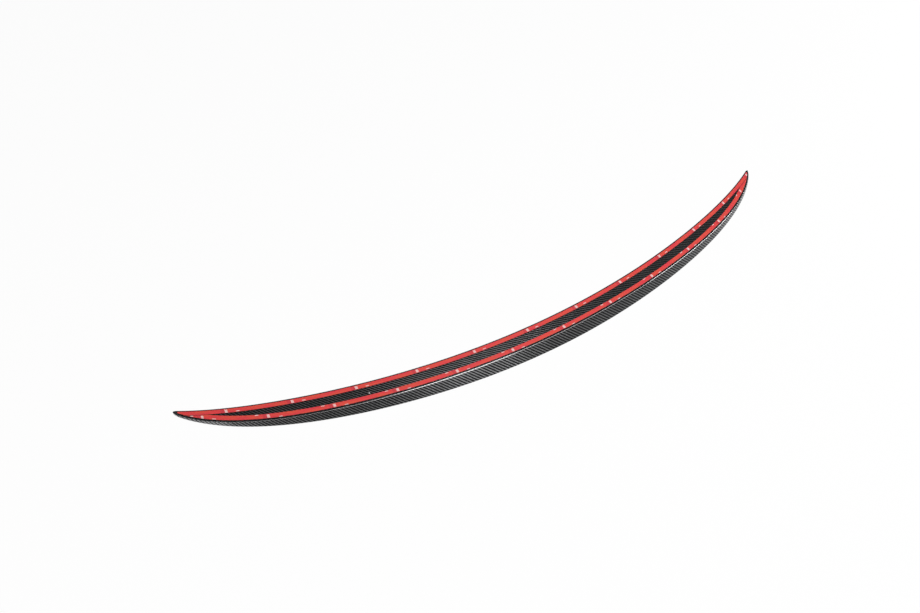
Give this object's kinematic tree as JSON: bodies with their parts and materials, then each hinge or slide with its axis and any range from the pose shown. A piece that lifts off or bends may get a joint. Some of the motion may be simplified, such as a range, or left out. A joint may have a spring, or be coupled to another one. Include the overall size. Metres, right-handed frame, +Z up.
{
  "type": "car rear spoiler",
  "caption": "Slim crescent lip spoiler for the rear edge of a car's boot lid, in clear-coated carbon fibre, with red-backed foam mounting tape along its underside.",
  "frame": {"origin": "on the surface that the spoiler lies on, under the middle of its box", "axes": "+X across the car, +Y towards the front of the car, +Z up as the spoiler lies upside down, out of its bonding side; on the car it is turned over, so +Z points down to the boot lid"},
  "size_m": [1.3068, 0.188, 0.0184],
  "materials": {
    "carbon": "twill carbon fibre under a gloss clear coat",
    "tape_foam": "dark grey acrylic foam",
    "tape_liner": "smooth red release film"
  },
  "bodies": {
    "root": {"spoiler_blade": "carbon", "front_tape": "tape_foam", "front_tape_liner": "tape_liner", "rear_tape": "tape_foam", "rear_tape_liner": "tape_liner"}
  },
  "joints": []
}
